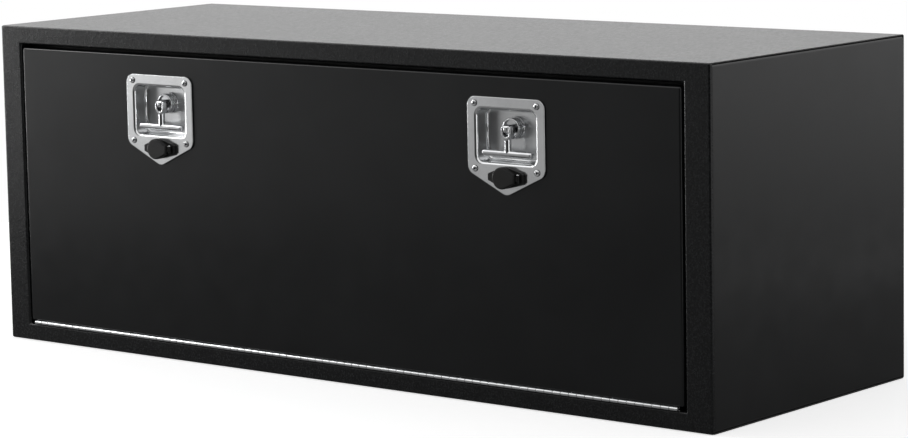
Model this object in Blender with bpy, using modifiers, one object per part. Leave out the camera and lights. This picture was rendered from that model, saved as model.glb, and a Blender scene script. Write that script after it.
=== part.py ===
"""Underbody truck tool box with a drop-down door on a piano hinge and two flush T-handle latches.

The origin is at the middle of the body's underside. +X is to the right, -Y is the front and +Z is up.
All sizes are in metres.
"""
from math import acos, asin, atan2, cos, floor, pi, radians, sin, sqrt, tan, tau

import bmesh
import bpy
from mathutils import Matrix, Vector

# Body
BOX_WIDTH = 1.2192
BOX_HEIGHT = 0.450
BOX_DEPTH = 0.440
SHEET = 0.0019
BEND_RADIUS = 0.003
END_LAP = 0.0008
END_FLANGE = 0.020
FRAME_RETURN = 0.004

# Fits and cutters
SEAM = 0.0003
OVERRUN = 0.020
MERGE = 0.00001

# Door opening and its jamb
OPENING_SIDE = 0.03975
OPENING_TOP = 0.0245
OPENING_BOTTOM = 0.0236
JAMB_DEPTH = 0.028
LIP_WIDTH = 0.014
SEAL_WIDTH = 0.0095
SEAL_CORNER = 0.006

# Door
DOOR_SIDE_GAP = 0.00335
DOOR_TOP_GAP = 0.0057
DOOR_FLANGE = 0.022
DOOR_HEM = 0.012

# Piano hinge
KNUCKLE_RADIUS = 0.0025
KNUCKLE_PAIR = 0.0254
KNUCKLE_END_GAP = 0.00015
KNUCKLE_RELIEF = 0.0005
HINGE_BORE_RADIUS = 0.0014
HINGE_PIN_RADIUS = 0.0009
LEAF_SHEET = 0.0012
LEAF_REACH = 0.020

# Latch plate and dish
LATCH_SPACING = 0.600
LATCH_OFFSET = 0.0017
LATCH_DROP = 0.0663
LATCH_SHEET = 0.0015
GASKET_SHEET = 0.0006
GASKET_MARGIN = 0.0005
PLATE_HALF = 0.061
PLATE_TOP = 0.0395
PLATE_SHOULDER = 0.0558
PLATE_TIP = 0.0847
PLATE_CORNER = 0.012
PLATE_TIP_RADIUS = 0.014
MOUTH_HALF = 0.0464
MOUTH_TOP = 0.024
MOUTH_BOTTOM = 0.043
MOUTH_CORNER = 0.009
MOUTH_FILLET = 0.004
DISH_DEPTH = 0.024
DISH_FILLET = 0.0048

# Latch screws
SCREW_SIDE = 0.0492
SCREW_TOP = 0.031
SCREW_BOTTOM = 0.052
SCREW_HEAD_RADIUS = 0.00425
SCREW_HEAD_HEIGHT = 0.0022
SCREW_CROWN_SHARE = 0.62
SCREW_SHANK_RADIUS = 0.002
SCREW_LENGTH = 0.012

# Bush, spindle and pin
BUSH_RADIUS = 0.0145
BUSH_THICKNESS = 0.003
BUSH_NECK_RADIUS = 0.010
BUSH_NECK_LENGTH = 0.006
SHAFT_RADIUS = 0.007
SHAFT_CLEARANCE = 0.0003
HUB_RADIUS = 0.0135
HUB_FRONT = 0.0098
HUB_EDGE = 0.0025
TONGUE_HALF = 0.0046
TONGUE_RADIUS = 0.0055
PIVOT_DEPTH = 0.0045
PIN_RADIUS = 0.002
PIN_STAND = 0.0004

# T-handle
YOKE_HALF = 0.0075
YOKE_CLEARANCE = 0.0003
YOKE_LENGTH = 0.013
YOKE_THROAT = 0.010
STEM_RADIUS = 0.0045
BAR_RADIUS = 0.0045
BAR_LENGTH = 0.078
BAR_DROP = 0.0315

# Cam behind the door
CAM_GAP = 0.0011
CAM_THICKNESS = 0.004
CAM_REACH = 0.066
CAM_HALF = 0.011
CAM_TIP_HALF = 0.009
CAM_CORNER = 0.007
TENON_HALF = 0.0045
THREAD_RADIUS = 0.004
THREAD_LENGTH = 0.009
WASHER_RADIUS = 0.009
WASHER_THICKNESS = 0.0012
NUT_RADIUS = 0.0075
NUT_THICKNESS = 0.0055

# Lock under the weather cover
LOCK_DROP = 0.0606
LOCK_HEAD_RADIUS = 0.011
LOCK_HEAD_THICKNESS = 0.0017
LOCK_BARREL_RADIUS = 0.009
LOCK_BARREL_LENGTH = 0.028
PLUG_RADIUS = 0.006
KEYWAY_HALF_WIDTH = 0.0007
KEYWAY_HALF_HEIGHT = 0.004
KEYWAY_DEPTH = 0.010
TAIL_TENON_HALF = 0.003
TAIL_THICKNESS = 0.0025
TAIL_REACH = 0.044
TAIL_HALF = 0.007
TAIL_CORNER = 0.005
TAIL_STUB = 0.0015

# Weather cover
COVER_BASE_THICKNESS = 0.005
COVER_BASE_LEFT = 0.0255
COVER_BASE_TAB_HALF = 0.0042
COVER_BASE_RIGHT = 0.0295
COVER_BASE_END_HALF = 0.0052
COVER_BASE_SHOULDER = 0.026
COVER_BASE_SHOULDER_HALF = 0.008
COVER_BASE_HALF = 0.0145
COVER_BASE_CORNER = 0.003
COVER_BASE_BELLY_RADIUS = 0.012
CAP_RADIUS = 0.014
CAP_END = 0.021
CAP_END_HALF = 0.0058
CAP_HEIGHT = 0.0064
CAP_WALL = 0.0015
CAP_HINGE_REACH = 0.0245
CAP_HINGE_RISE = 0.0022
CAP_LUG_RADIUS = 0.0019
CAP_LUG_HALF = 0.0028
CAP_EAR_THICKNESS = 0.0020
CAP_PIN_RADIUS = 0.0007
CAP_PIN_CLEARANCE = 0.0002

# Facets
BEND_STEPS = 3
ROUND_SIDES = 16
SMALL_SIDES = 10
KNUCKLE_SIDES = 8
BORE_SIDES = 6
SHADE_ANGLE = radians(35)
BEND_ANGLE = radians(40)

# Places that follow from the sizes above
HALF_WIDTH = BOX_WIDTH / 2
FRONT = -BOX_DEPTH / 2
BACK = BOX_DEPTH / 2
SHEET_FRONT = FRONT + FRAME_RETURN + SEAM
HINGE_Z = OPENING_BOTTOM + SEAM + KNUCKLE_RADIUS
DOOR_HALF = HALF_WIDTH - OPENING_SIDE - DOOR_SIDE_GAP
DOOR_LOW = HINGE_Z + KNUCKLE_RADIUS + SEAM
DOOR_HIGH = BOX_HEIGHT - OPENING_TOP - DOOR_TOP_GAP
PLATE_FRONT = FRONT - SEAM - GASKET_SHEET - SEAM - LATCH_SHEET
DISH_BACK = DISH_DEPTH + LATCH_SHEET
CAM_FRONT = FRONT - PLATE_FRONT + JAMB_DEPTH + SHEET + CAM_GAP
COVER_FRONT = -SEAM - COVER_BASE_THICKNESS
CAP_REAR = COVER_FRONT - SEAM
CAP_AXIS_DEPTH = CAP_REAR - CAP_HINGE_RISE
BORE_RADIUS = PIN_RADIUS + SEAM

XZ_PLANE = Matrix(((1, 0, 0), (0, 0, -1), (0, 1, 0))).to_4x4()
YZ_PLANE = Matrix(((0, 0, 1), (1, 0, 0), (0, 1, 0))).to_4x4()
FACING_FRONT = (pi / 2, 0, 0)


def clear_scene():
    for old in list(bpy.data.objects):
        bpy.data.objects.remove(old, do_unlink=True)


def new_collection(name):
    collection = bpy.data.collections.new(name)
    bpy.context.scene.collection.children.link(collection)
    return collection


def linear(channel):
    if channel <= 0.04045:
        return channel / 12.92
    return ((channel + 0.055) / 1.055) ** 2.4


def new_material(name, hex_colour, roughness, metallic):
    material = bpy.data.materials.new(name)
    material.use_nodes = True
    shader = material.node_tree.nodes["Principled BSDF"]
    channels = [linear(int(hex_colour[at:at + 2], 16) / 255) for at in (0, 2, 4)]
    shader.inputs["Base Color"].default_value = (*channels, 1)
    shader.inputs["Roughness"].default_value = roughness
    shader.inputs["Metallic"].default_value = metallic
    return material


clear_scene()
PARTS = new_collection("underbody_tool_box")
CUTTERS = new_collection("cutters")


def powder_coat(name):
    return new_material(name + "_powder_coat", "1B1C1D", 0.45, 0)


def stainless(name):
    return new_material(name + "_stainless", "B9BBBC", 0.3, 1)


def zinc(name):
    return new_material(name + "_zinc", "9EA1A4", 0.4, 1)


def black_plastic(name):
    return new_material(name + "_plastic", "161617", 0.6, 0)


def rubber(name):
    return new_material(name + "_rubber", "101010", 0.85, 0)


def add_object(name, mesh, finish=None, parent=None, location=(0, 0, 0), rotation=(0, 0, 0)):
    """A part when it has a finish, and a hidden cutter when it has none."""
    item = bpy.data.objects.new(name, mesh)
    item.location = location
    item.rotation_euler = rotation
    item.parent = parent
    if finish:
        PARTS.objects.link(item)
        mesh.materials.append(finish(name))
    else:
        CUTTERS.objects.link(item)
        item.hide_render = True
        item.display_type = "WIRE"
    return item


def add_empty(name, parent, location):
    empty = bpy.data.objects.new(name, None)
    empty.empty_display_size = BAR_LENGTH
    empty.location = location
    empty.parent = parent
    PARTS.objects.link(empty)
    return empty


def mesh_from(bm, name):
    mesh = bpy.data.meshes.new(name)
    bm.to_mesh(mesh)
    bm.free()
    return mesh


def smooth(mesh):
    mesh.shade_smooth()
    mesh.set_sharp_from_angle(angle=SHADE_ANGLE)
    return mesh


def add_bend(item, radius=BEND_RADIUS):
    bend = item.modifiers.new("Bend", "BEVEL")
    bend.width = radius
    bend.segments = BEND_STEPS
    bend.limit_method = "ANGLE"
    bend.angle_limit = BEND_ANGLE


def add_thickness(item, thickness):
    wall = item.modifiers.new("Sheet", "SOLIDIFY")
    wall.thickness = thickness
    wall.offset = -1
    wall.use_even_offset = True


def combine(item, other, operation):
    boolean = item.modifiers.new(operation.title(), "BOOLEAN")
    boolean.operation = operation
    boolean.object = other


def block(name, low, high):
    """A box between two opposite corners."""
    low = Vector(low)
    high = Vector(high)
    bm = bmesh.new()
    place = Matrix.Translation((low + high) / 2) @ Matrix.Diagonal((*(high - low), 1))
    bmesh.ops.create_cube(bm, size=1, matrix=place)
    return mesh_from(bm, name)


def round_bar(name, radius, low, high, axis, sides):
    """A cylinder on a line through the origin, from one place on its axis to another."""
    bm = bmesh.new()
    turn = Matrix.Identity(4)
    if axis == "X":
        turn = Matrix.Rotation(pi / 2, 4, "Y")
    if axis == "Y":
        turn = Matrix.Rotation(-pi / 2, 4, "X")
    place = turn @ Matrix.Translation((0, 0, (low + high) / 2))
    bmesh.ops.create_cone(bm, cap_ends=True, segments=sides, radius1=radius, radius2=radius,
                          depth=high - low, matrix=place)
    return smooth(mesh_from(bm, name))


def turned(name, profile, sides, closed, finish, parent, location):
    """A body turned about the line towards the front, from a profile of radius and depth, front to back."""
    bm = bmesh.new()
    verts = [bm.verts.new((radius, 0, -depth)) for radius, depth in profile]
    for first, second in zip(verts, verts[1:]):
        bm.edges.new((first, second))
    if closed:
        bm.edges.new((verts[-1], verts[0]))
    item = add_object(name, mesh_from(bm, name), finish, parent, location, FACING_FRONT)
    screw = item.modifiers.new("Turn", "SCREW")
    screw.angle = tau
    screw.steps = sides
    screw.render_steps = sides
    screw.use_merge_vertices = True
    screw.merge_threshold = MERGE
    return item


def flat(name, outlines, low, high, plane=XZ_PLANE):
    """A solid of one thickness from closed outlines, those inside the first being holes."""
    curve = bpy.data.curves.new(name, "CURVE")
    curve.dimensions = "2D"
    curve.fill_mode = "BOTH"
    curve.extrude = (high - low) / 2
    for outline in outlines:
        spline = curve.splines.new("POLY")
        spline.points.add(len(outline) - 1)
        spline.use_cyclic_u = True
        for point, (across, up) in zip(spline.points, outline):
            point.co = (across, up, 0, 1)
    source = bpy.data.objects.new(name + "_outline", curve)
    CUTTERS.objects.link(source)
    graph = bpy.context.evaluated_depsgraph_get()
    mesh = bpy.data.meshes.new_from_object(source.evaluated_get(graph))
    bpy.data.objects.remove(source)
    bm = bmesh.new()
    bm.from_mesh(mesh)
    bmesh.ops.remove_doubles(bm, verts=bm.verts, dist=MERGE)
    centre = plane.to_3x3() @ Vector((0, 0, 1))
    if plane is XZ_PLANE:
        centre = -centre
    bmesh.ops.transform(bm, matrix=Matrix.Translation(centre * (low + high) / 2) @ plane, verts=bm.verts)
    bmesh.ops.recalc_face_normals(bm, faces=bm.faces)
    bm.to_mesh(mesh)
    bm.free()
    return mesh


def circle(radius, sides, centre=(0, 0)):
    steps = [tau * step / sides for step in range(sides)]
    return [(centre[0] + radius * cos(turn), centre[1] + radius * sin(turn)) for turn in steps]


def arc(radius, first, last, steps, centre=(0, 0)):
    turns = [first + (last - first) * step / steps for step in range(steps + 1)]
    return [(centre[0] + radius * cos(turn), centre[1] + radius * sin(turn)) for turn in turns]


def rounded(corners, radii, steps=BEND_STEPS):
    """An outline whose corners are arcs of the given radii."""
    points = [Vector(corner) for corner in corners]
    outline = []
    for at, corner in enumerate(points):
        before = (points[at - 1] - corner).normalized()
        after = (points[(at + 1) % len(points)] - corner).normalized()
        half_angle = before.angle(after) / 2
        centre = corner + (before + after).normalized() * radii[at] / sin(half_angle)
        start = corner + before * radii[at] / tan(half_angle) - centre
        end = corner + after * radii[at] / tan(half_angle) - centre
        first = atan2(start.y, start.x)
        sweep = (atan2(end.y, end.x) - first + pi) % tau - pi
        for step in range(steps + 1):
            turn = first + sweep * step / steps
            outline.append((centre.x + radii[at] * cos(turn), centre.y + radii[at] * sin(turn)))
    return outline


def open_box(name, low, high, removed, finish):
    """A folded sheet: a box's outer skin without the faces that look the given ways."""
    bm = bmesh.new()
    source = block(name + "_skin", low, high)
    bm.from_mesh(source)
    bpy.data.meshes.remove(source)
    unwanted = [face for face in bm.faces if any(face.normal.dot(Vector(way)) > 0.5 for way in removed)]
    bmesh.ops.delete(bm, geom=unwanted, context="FACES")
    item = add_object(name, smooth(mesh_from(bm, name)), finish)
    add_bend(item)
    add_thickness(item, SHEET)
    return item


def place_corners(face, rectangle):
    half, low, high, depth = rectangle
    middle = face.calc_center_median()
    for vert in face.verts:
        side = half if vert.co.x > middle.x else -half
        height = high if vert.co.z > middle.z else low
        vert.co = (side, depth, height)


def stepped_sheet(name, rectangles, closed, finish):
    """A sheet folded through rectangles of half width, low and high edge and place in depth."""
    bm = bmesh.new()
    bmesh.ops.create_cube(bm, size=1)
    rear = max(bm.faces, key=lambda face: face.calc_center_median().y)
    front = min(bm.faces, key=lambda face: face.calc_center_median().y)
    for face, rectangle in ((rear, rectangles[0]), (front, rectangles[1])):
        place_corners(face, rectangle)
    bmesh.ops.delete(bm, geom=[rear], context="FACES_ONLY")
    for rectangle in rectangles[2:]:
        bmesh.ops.inset_region(bm, faces=[front], thickness=0)
        place_corners(front, rectangle)
    if not closed:
        bmesh.ops.delete(bm, geom=[front], context="FACES_ONLY")
    bm.normal_update()
    return add_object(name, smooth(mesh_from(bm, name)), finish)


def build_body():
    wrap_half = HALF_WIDTH - END_LAP
    open_box("body_wrap", (-wrap_half, SHEET_FRONT, 0), (wrap_half, BACK, BOX_HEIGHT),
             ((0, -1, 0), (-1, 0, 0), (1, 0, 0)), powder_coat)
    inset = SHEET + SEAM
    for name, side in (("left_end_panel", -1), ("right_end_panel", 1)):
        edges = sorted((side * (HALF_WIDTH - END_FLANGE), side * HALF_WIDTH))
        open_box(name, (edges[0], SHEET_FRONT, inset), (edges[1], BACK - inset, BOX_HEIGHT - inset),
                 ((0, -1, 0), (-side, 0, 0)), powder_coat)


def build_door_frame():
    half = HALF_WIDTH - OPENING_SIDE
    low = OPENING_BOTTOM
    high = BOX_HEIGHT - OPENING_TOP
    lip_front = FRONT + JAMB_DEPTH
    frame = stepped_sheet("door_frame", (
        (HALF_WIDTH, 0, BOX_HEIGHT, FRONT + FRAME_RETURN),
        (HALF_WIDTH, 0, BOX_HEIGHT, FRONT),
        (half, low, high, FRONT),
        (half, low, high, lip_front),
        (half - LIP_WIDTH, low + LIP_WIDTH, high - LIP_WIDTH, lip_front),
    ), False, powder_coat)
    add_bend(frame)
    add_thickness(frame, SHEET)
    seal_front = FRONT + DOOR_FLANGE + SEAM
    outlines = []
    for inset in (BEND_RADIUS + SEAM, BEND_RADIUS + SEAM + SEAL_WIDTH):
        across = half - inset
        corners = ((-across, low + inset), (across, low + inset), (across, high - inset), (-across, high - inset))
        outlines.append(rounded(corners, (SEAL_CORNER,) * 4))
    add_object("door_seal", flat("door_seal", outlines, seal_front, lip_front - SEAM), rubber)


def mouth_outline(offset):
    """The dish's rounded mouth, measured out from its walls by the offset."""
    half = MOUTH_HALF + offset
    low = -MOUTH_BOTTOM - offset
    high = MOUTH_TOP + offset
    return rounded(((-half, low), (half, low), (half, high), (-half, high)), (MOUTH_CORNER + offset,) * 4)


def plate_outline(margin):
    """The latch plate's outline: square at the top and drawn down to a rounded tip."""
    half = PLATE_HALF - margin
    corners = ((0, -PLATE_TIP + margin), (half, -PLATE_SHOULDER), (half, PLATE_TOP - margin),
               (-half, PLATE_TOP - margin), (-half, -PLATE_SHOULDER))
    radii = (PLATE_TIP_RADIUS, PLATE_CORNER, PLATE_CORNER, PLATE_CORNER, PLATE_CORNER)
    return rounded(corners, radii)


def screw_places():
    return [(side * SCREW_SIDE, height) for side in (-1, 1) for height in (SCREW_TOP, -SCREW_BOTTOM)]


def fixing_holes():
    """Holes that the plate, the gasket and the door share: the four screws and the lock barrel."""
    holes = [circle(SCREW_SHANK_RADIUS + SEAM, SMALL_SIDES, place) for place in screw_places()]
    holes.append(circle(LOCK_BARREL_RADIUS + SEAM, ROUND_SIDES, (0, -LOCK_DROP)))
    return holes


def build_door(seats):
    rear = FRONT + DOOR_FLANGE
    hem_half = DOOR_HALF - DOOR_HEM
    door = stepped_sheet("door_panel", (
        (hem_half, DOOR_LOW + DOOR_HEM, DOOR_HIGH - DOOR_HEM, rear),
        (DOOR_HALF, DOOR_LOW, DOOR_HIGH, rear),
        (DOOR_HALF, DOOR_LOW, DOOR_HIGH, FRONT),
    ), True, powder_coat)
    add_bend(door)
    add_thickness(door, SHEET)
    outlines = [mouth_outline(MOUTH_FILLET + SEAM)] + fixing_holes()
    for seat in seats:
        mesh = flat("door_cutter", outlines, -OVERRUN, OVERRUN)
        cutter = add_object(seat.name + "_door_cutter", mesh, parent=seat)
        combine(door, cutter, "DIFFERENCE")


def hinge_leaf(name, way, pairs, knuckle_spans, hinge_line):
    """A leaf with its knuckles: way is -1 for the leaf under the pin and 1 for the leaf over it."""
    inner_face = KNUCKLE_RADIUS - LEAF_SHEET
    meeting = tau + asin(inner_face / KNUCKLE_RADIUS)
    outline = arc(KNUCKLE_RADIUS, pi / 2, meeting, KNUCKLE_SIDES - 1)
    outline = outline + [(LEAF_REACH, inner_face), (LEAF_REACH, KNUCKLE_RADIUS)]
    outline = [(across, way * up) for across, up in outline]
    half = pairs * KNUCKLE_PAIR / 2
    mesh = flat(name, (outline, circle(HINGE_BORE_RADIUS, BORE_SIDES)), -half, half, YZ_PLANE)
    leaf = add_object(name, mesh, stainless, hinge_line)
    gaps = bmesh.new()
    reach = KNUCKLE_RADIUS + OVERRUN
    for low, high in knuckle_spans:
        cut = block(name + "_gap", (low - KNUCKLE_END_GAP, -reach, -reach),
                    (high + KNUCKLE_END_GAP, KNUCKLE_RADIUS + KNUCKLE_RELIEF, reach))
        gaps.from_mesh(cut)
        bpy.data.meshes.remove(cut)
    cutter = add_object(name + "_gaps", mesh_from(gaps, name + "_gaps"), parent=hinge_line)
    combine(leaf, cutter, "DIFFERENCE")


def build_hinge(hinge_line):
    pairs = floor(2 * DOOR_HALF / KNUCKLE_PAIR)
    half = pairs * KNUCKLE_PAIR / 2
    starts = [at * KNUCKLE_PAIR - half for at in range(pairs)]
    frame_spans = [(start, start + KNUCKLE_PAIR / 2) for start in starts]
    door_spans = [(start + KNUCKLE_PAIR / 2, start + KNUCKLE_PAIR) for start in starts]
    hinge_leaf("hinge_frame_leaf", -1, pairs, door_spans, hinge_line)
    hinge_leaf("hinge_door_leaf", 1, pairs, frame_spans, hinge_line)
    pin = round_bar("hinge_pin", HINGE_PIN_RADIUS, -half, half, "X", KNUCKLE_SIDES)
    add_object("hinge_pin", pin, stainless, hinge_line)


def build_plate(side, seat):
    """The pressed plate: a flat face whose mouth rolls in to a dish, one sheet thick."""
    name = side + "_latch_plate"
    bm = bmesh.new()
    rings = []
    for outline in (plate_outline(0), mouth_outline(MOUTH_FILLET)):
        verts = [bm.verts.new((across, 0, up)) for across, up in outline]
        edges = [bm.edges.new((verts[at - 1], verts[at])) for at in range(len(verts))]
        rings.append(edges)
    bmesh.ops.triangle_fill(bm, use_beauty=True, edges=rings[0] + rings[1])
    ring = rings[1]
    section = []
    for step in range(1, BEND_STEPS + 1):
        turn = pi / 2 * step / BEND_STEPS
        section.append((MOUTH_FILLET * (1 - sin(turn)), MOUTH_FILLET * (1 - cos(turn))))
    for step in range(BEND_STEPS + 1):
        turn = pi / 2 * step / BEND_STEPS
        section.append((DISH_FILLET * (cos(turn) - 1), DISH_DEPTH - DISH_FILLET * (1 - sin(turn))))
    here = mouth_outline(MOUTH_FILLET)
    for offset, depth in section:
        target = mouth_outline(offset)
        result = bmesh.ops.extrude_edge_only(bm, edges=ring)
        ring = [part for part in result["geom"] if isinstance(part, bmesh.types.BMEdge)]
        for vert in {vert for edge in ring for vert in edge.verts}:
            place = Vector((vert.co.x, vert.co.z))
            nearest = min(range(len(here)), key=lambda at: (Vector(here[at]) - place).length)
            vert.co = (target[nearest][0], depth, target[nearest][1])
        here = target
    bmesh.ops.edgeloop_fill(bm, edges=ring)
    bmesh.ops.recalc_face_normals(bm, faces=bm.faces)
    outer = max(bm.faces, key=lambda face: abs(face.calc_center_median().z))
    if outer.normal.y > 0:
        bmesh.ops.reverse_faces(bm, faces=bm.faces)
    plate = add_object(name, smooth(mesh_from(bm, name)), stainless, seat)
    add_thickness(plate, LATCH_SHEET)
    holes = fixing_holes() + [circle(BUSH_NECK_RADIUS + SEAM, ROUND_SIDES)]
    cutter = add_object(name + "_cutter", flat(name + "_cutter", holes, -OVERRUN, DISH_DEPTH + OVERRUN),
                        parent=seat)
    combine(plate, cutter, "DIFFERENCE")
    behind = LATCH_SHEET + SEAM
    holes = [plate_outline(GASKET_MARGIN), mouth_outline(MOUTH_FILLET + SEAM)] + fixing_holes()
    name = side + "_latch_gasket"
    add_object(name, flat(name, holes, behind, behind + GASKET_SHEET), rubber, seat)


def build_screws(side, seat):
    crown = SCREW_HEAD_RADIUS * SCREW_CROWN_SHARE
    front = -SEAM - SCREW_HEAD_HEIGHT
    profile = ((0, front), (crown, front), (SCREW_HEAD_RADIUS, front / 2), (SCREW_HEAD_RADIUS, -SEAM),
               (SCREW_SHANK_RADIUS, -SEAM), (SCREW_SHANK_RADIUS, SCREW_LENGTH), (0, SCREW_LENGTH))
    for number, (across, up) in enumerate(screw_places(), 1):
        turned(f"{side}_latch_screw_{number}", profile, SMALL_SIDES, False, stainless, seat, (across, 0, up))


def build_spindle(side, seat, spindle_axis):
    bush_back = DISH_DEPTH - SEAM
    bush_front = bush_back - BUSH_THICKNESS
    bore = SHAFT_RADIUS + SHAFT_CLEARANCE
    neck_end = DISH_BACK + BUSH_NECK_LENGTH
    bush = ((bore, bush_front), (BUSH_RADIUS, bush_front), (BUSH_RADIUS, bush_back),
            (BUSH_NECK_RADIUS, bush_back), (BUSH_NECK_RADIUS, neck_end), (bore, neck_end))
    turned(side + "_spindle_bush", bush, ROUND_SIDES, True, zinc, seat, (0, 0, 0))
    hub_back = bush_front - SEAM
    shoulder = CAM_FRONT - SEAM
    tenon_end = CAM_FRONT + CAM_THICKNESS
    thread_end = tenon_end + THREAD_LENGTH
    profile = ((0, HUB_FRONT), (HUB_RADIUS - HUB_EDGE, HUB_FRONT), (HUB_RADIUS, HUB_FRONT + HUB_EDGE),
               (HUB_RADIUS, hub_back), (SHAFT_RADIUS, hub_back), (SHAFT_RADIUS, shoulder),
               (THREAD_RADIUS, shoulder), (THREAD_RADIUS, thread_end), (0, thread_end))
    spindle = turned(side + "_spindle", profile, ROUND_SIDES, False, stainless, spindle_axis, (0, 0, 0))
    rear = HUB_FRONT + HUB_EDGE
    round_end = arc(TONGUE_RADIUS, pi / 2, 3 * pi / 2, ROUND_SIDES // 2, (PIVOT_DEPTH, 0))
    tongue = [(rear, TONGUE_RADIUS)] + round_end + [(rear, -TONGUE_RADIUS)]
    pieces = (
        ("tongue", flat("tongue", (tongue,), -TONGUE_HALF, TONGUE_HALF, YZ_PLANE), "UNION"),
        ("tenon", block("tenon", (-TENON_HALF, shoulder - HUB_EDGE, -TENON_HALF),
                        (TENON_HALF, tenon_end, TENON_HALF)), "UNION"),
    )
    for label, mesh, operation in pieces:
        combine(spindle, add_object(f"{side}_spindle_{label}", mesh, parent=spindle_axis), operation)
    hole = round_bar("pin_hole", BORE_RADIUS, -OVERRUN, OVERRUN, "X", SMALL_SIDES)
    cutter = add_object(side + "_spindle_pin_hole", hole, parent=spindle_axis, location=(0, PIVOT_DEPTH, 0))
    combine(spindle, cutter, "DIFFERENCE")
    name = side + "_cam"
    corners = ((-CAM_HALF, -CAM_HALF), (CAM_REACH, -CAM_TIP_HALF), (CAM_REACH, CAM_TIP_HALF),
               (-CAM_HALF, CAM_HALF))
    square = TENON_HALF + SEAM
    hole = [(-square, -square), (square, -square), (square, square), (-square, square)]
    mesh = flat(name, (rounded(corners, (CAM_CORNER,) * 4), hole), CAM_FRONT, tenon_end)
    add_object(name, mesh, zinc, spindle_axis)
    name = side + "_cam_washer"
    washer_front = tenon_end + SEAM
    washer_back = washer_front + WASHER_THICKNESS
    hole = circle(THREAD_RADIUS + SEAM, SMALL_SIDES)
    mesh = flat(name, (circle(WASHER_RADIUS, ROUND_SIDES), hole), washer_front, washer_back)
    add_object(name, mesh, zinc, spindle_axis)
    name = side + "_cam_nut"
    nut_front = washer_back + SEAM
    mesh = flat(name, (circle(NUT_RADIUS, 6), hole), nut_front, nut_front + NUT_THICKNESS)
    add_object(name, mesh, zinc, spindle_axis)


def build_handle(side, pivot):
    """The folding T-handle: a yoke over the tongue, a round stem and a cross bar."""
    name = side + "_t_handle"
    arms = arc(STEM_RADIUS, 0, pi, ROUND_SIDES // 2)
    arms = arms + [(-STEM_RADIUS, -YOKE_LENGTH), (STEM_RADIUS, -YOKE_LENGTH)]
    handle = add_object(name, flat(name, (arms,), -YOKE_HALF, YOKE_HALF, YZ_PLANE), stainless, pivot)
    bar_half = BAR_LENGTH / 2
    stem = round_bar("stem", STEM_RADIUS, -BAR_DROP, -(YOKE_THROAT + YOKE_LENGTH) / 2, "Z", ROUND_SIDES)
    bar = round_bar("bar", BAR_RADIUS, -bar_half, bar_half, "X", ROUND_SIDES)
    slot_half = TONGUE_HALF + YOKE_CLEARANCE
    slot = block("slot", (-slot_half, -OVERRUN, -YOKE_THROAT), (slot_half, OVERRUN, OVERRUN))
    hole = round_bar("hole", BORE_RADIUS, -OVERRUN, OVERRUN, "X", SMALL_SIDES)
    steps = (("slot", slot, (0, 0, 0), "DIFFERENCE"), ("pin_hole", hole, (0, 0, 0), "DIFFERENCE"),
             ("stem", stem, (0, 0, 0), "UNION"), ("bar", bar, (0, 0, -BAR_DROP), "UNION"))
    for label, mesh, place, operation in steps:
        combine(handle, add_object(f"{name}_{label}", mesh, parent=pivot, location=place), operation)


def teardrop(inset):
    """The cap's outline: a round head drawn out straight to a narrower flat end."""
    radius = CAP_RADIUS - inset
    end = CAP_END - inset
    end_half = CAP_END_HALF - inset
    angle = atan2(end_half, end) + acos(radius / sqrt(end * end + end_half * end_half))
    sweep = tau - 2 * angle
    head = [angle + sweep * step / ROUND_SIDES for step in range(ROUND_SIDES + 1)]
    return [(end, end_half)] + [(radius * cos(turn), radius * sin(turn)) for turn in head] + [(end, -end_half)]


def build_lock(side, seat, key_axis, cap_hinge):
    head_front = COVER_FRONT - SEAM - LOCK_HEAD_THICKNESS
    bore = PLUG_RADIUS + SEAM
    cylinder = ((bore, head_front), (LOCK_HEAD_RADIUS, head_front), (LOCK_HEAD_RADIUS, COVER_FRONT - SEAM),
                (LOCK_BARREL_RADIUS, COVER_FRONT - SEAM), (LOCK_BARREL_RADIUS, LOCK_BARREL_LENGTH),
                (bore, LOCK_BARREL_LENGTH))
    place = (0, 0, -LOCK_DROP)
    turned(side + "_lock_cylinder", cylinder, ROUND_SIDES, True, stainless, seat, place)
    tail_front = LOCK_BARREL_LENGTH + SEAM
    tail_back = tail_front + TAIL_THICKNESS
    plug = add_object(side + "_key_plug", round_bar("plug", PLUG_RADIUS, head_front, LOCK_BARREL_LENGTH, "Y",
                                                    ROUND_SIDES), stainless, key_axis)
    stub = block("stub", (-TAIL_TENON_HALF, LOCK_BARREL_LENGTH - OVERRUN / 2, -TAIL_TENON_HALF),
                 (TAIL_TENON_HALF, tail_back + TAIL_STUB, TAIL_TENON_HALF))
    combine(plug, add_object(side + "_key_plug_stub", stub, parent=key_axis), "UNION")
    keyway = block("keyway", (-KEYWAY_HALF_WIDTH, head_front - OVERRUN, -KEYWAY_HALF_HEIGHT),
                   (KEYWAY_HALF_WIDTH, head_front + KEYWAY_DEPTH, KEYWAY_HALF_HEIGHT))
    combine(plug, add_object(side + "_keyway", keyway, parent=key_axis), "DIFFERENCE")
    corners = ((-TAIL_HALF, -TAIL_HALF), (TAIL_REACH, -TAIL_HALF), (TAIL_REACH, TAIL_HALF),
               (-TAIL_HALF, TAIL_HALF))
    square = TAIL_TENON_HALF + SEAM
    hole = [(-square, -square), (square, -square), (square, square), (-square, square)]
    name = side + "_lock_tail"
    mesh = flat(name, (rounded(corners, (TAIL_CORNER,) * 4), hole), tail_front, tail_back)
    add_object(name, mesh, zinc, key_axis)
    build_cover(side, seat, cap_hinge)


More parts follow.
